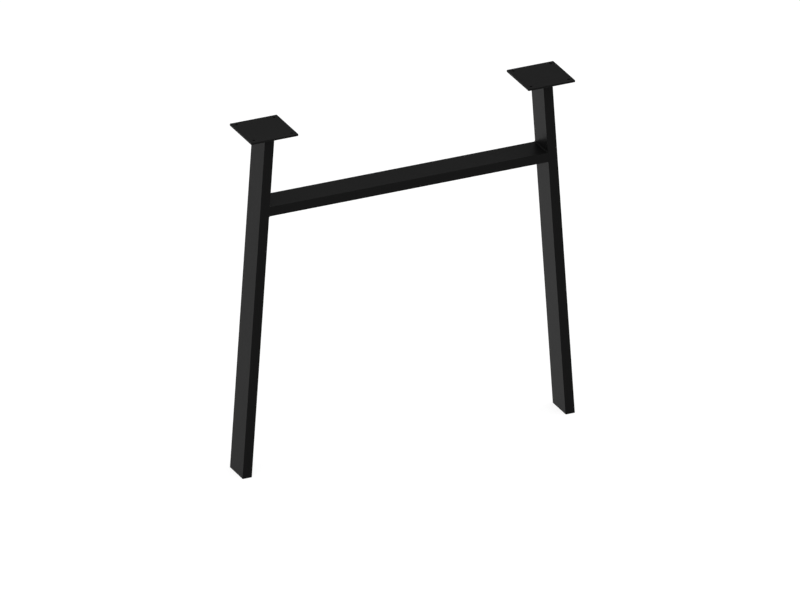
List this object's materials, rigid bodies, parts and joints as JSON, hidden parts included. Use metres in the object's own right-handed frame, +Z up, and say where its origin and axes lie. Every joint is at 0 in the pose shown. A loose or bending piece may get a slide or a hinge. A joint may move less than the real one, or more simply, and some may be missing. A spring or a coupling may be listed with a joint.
{
  "type": "table leg",
  "caption": "Splayed table leg frame: flat rectangular steel legs joined by a crossbar near the top, with square screw-on mounting plates and plugged feet, powder coated black.",
  "frame": {"origin": "on the floor, midway between the two feet", "axes": "+X along the crossbar, +Y across the broad faces of the tubes, +Z up towards the mounting plates"},
  "size_m": [0.71, 0.1, 0.72],
  "materials": {
    "powder_coat": "fine satin black powder coat on steel",
    "foot_plastic": "matt black moulded polyethylene"
  },
  "bodies": {
    "root": {"left_leg_tube": "powder_coat", "right_leg_tube": "powder_coat", "crossbar_tube": "powder_coat", "left_mounting_plate": "powder_coat", "right_mounting_plate": "powder_coat", "left_plate_weld": "powder_coat", "right_plate_weld": "powder_coat", "left_crossbar_weld": "powder_coat", "right_crossbar_weld": "powder_coat", "left_foot_plug": "foot_plastic", "right_foot_plug": "foot_plastic"}
  },
  "joints": []
}
